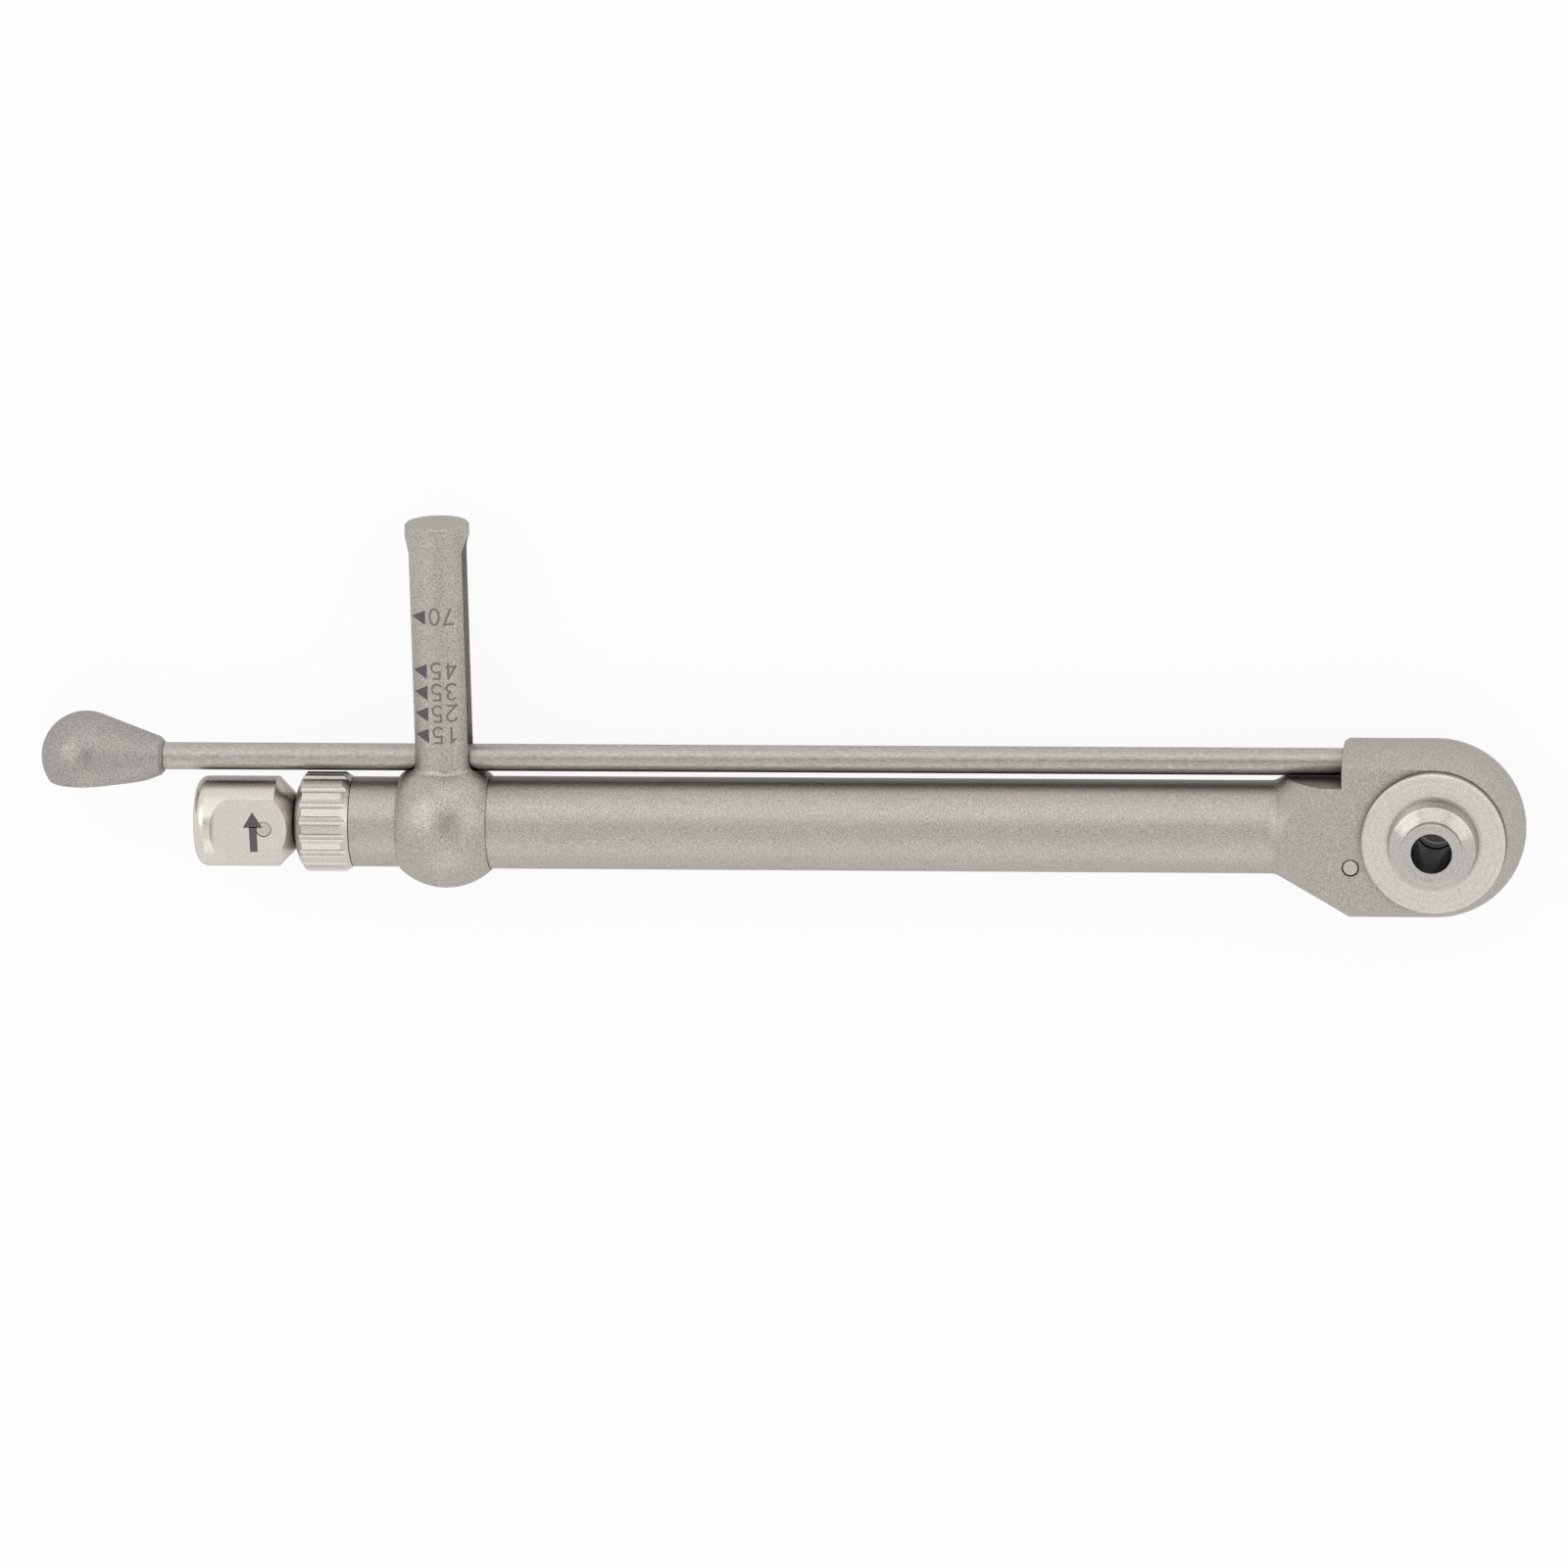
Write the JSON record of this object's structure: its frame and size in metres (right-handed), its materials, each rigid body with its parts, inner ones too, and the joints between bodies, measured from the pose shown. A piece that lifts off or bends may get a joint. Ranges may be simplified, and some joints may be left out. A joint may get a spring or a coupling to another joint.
{
  "type": "implant torque wrench",
  "caption": "Ball-headed ratchet wrench with a tube handle, a bending torque rod read against a slotted scale arm, a knurled nut and a pull-and-turn arrow knob.",
  "frame": {"origin": "where the drive axis crosses the handle axis, inside the head", "axes": "+X along the handle towards the head's ball end, +Y from the handle axis towards the torque rod and scale arm, +Z along the drive axis out of the face with the scale"},
  "size_m": [0.0952, 0.0254, 0.0105],
  "materials": {
    "matte_steel": "bead-blasted warm grey stainless steel",
    "satin_steel": "satin turned stainless steel",
    "pin_steel": "ground pin end",
    "spring_steel": "plain spring steel",
    "black_marking": "black laser marking of the scale and the arrows"
  },
  "bodies": {
    "handle": {"wrench_body": "matte_steel", "scale_sleeve": "matte_steel", "guide_pin": "pin_steel", "wheel_circlip": "spring_steel"},
    "drive": {"ratchet_wheel": "satin_steel", "drive_spindle": "satin_steel", "finger_disc": "satin_steel", "insert_clip": "spring_steel", "shank_clip": "spring_steel"},
    "beam": {"torque_rod": "matte_steel", "finger_drop": "matte_steel"},
    "nut_carrier": {"spring_seat": "satin_steel", "return_spring": "spring_steel"},
    "nut": {"knurled_nut": "satin_steel"},
    "bolt_slider": {"spring_washer": "spring_steel"},
    "selector": {"pawl_bolt": "satin_steel", "arrow_knob": "satin_steel", "knob_pin": "pin_steel"}
  },
  "joints": [
    {"name": "drive_spin", "type": "hinge", "parent": "handle", "child": "drive", "pos_m": [0, 0, 0], "axis": [0, 0, 1], "continuous": true},
    {"name": "beam_flex", "type": "hinge", "parent": "handle", "child": "beam", "pos_m": [-0.00579, 0.00429, 0], "axis": [0, 0, -1], "range_deg": [0, 14.2], "stiffness_Nm_per_rad": 3.3, "deforming": ["torque_rod"]},
    {"name": "nut_travel", "type": "slide", "parent": "handle", "child": "nut_carrier", "axis": [-1, 0, 0], "range_m": [0, 0.0007]},
    {"name": "nut_turn", "type": "hinge", "parent": "nut_carrier", "child": "nut", "pos_m": [-0.07124, 0, 0], "axis": [-1, 0, 0], "range_deg": [0, 720]},
    {"name": "knob_pull", "type": "slide", "parent": "nut_carrier", "child": "bolt_slider", "axis": [-1, 0, 0], "range_m": [0, 0.0014], "stiffness_N_per_m": 500, "springref_m": -0.004, "deforming": ["return_spring"]},
    {"name": "knob_turn", "type": "hinge", "parent": "bolt_slider", "child": "selector", "pos_m": [-0.0765, 0, 0], "axis": [1, 0, 0], "range_deg": [0, 180]}
  ],
  "couplings": [
    {"joint": "nut_turn", "follows": "nut_travel", "rad_per_m": 17952}
  ]
}
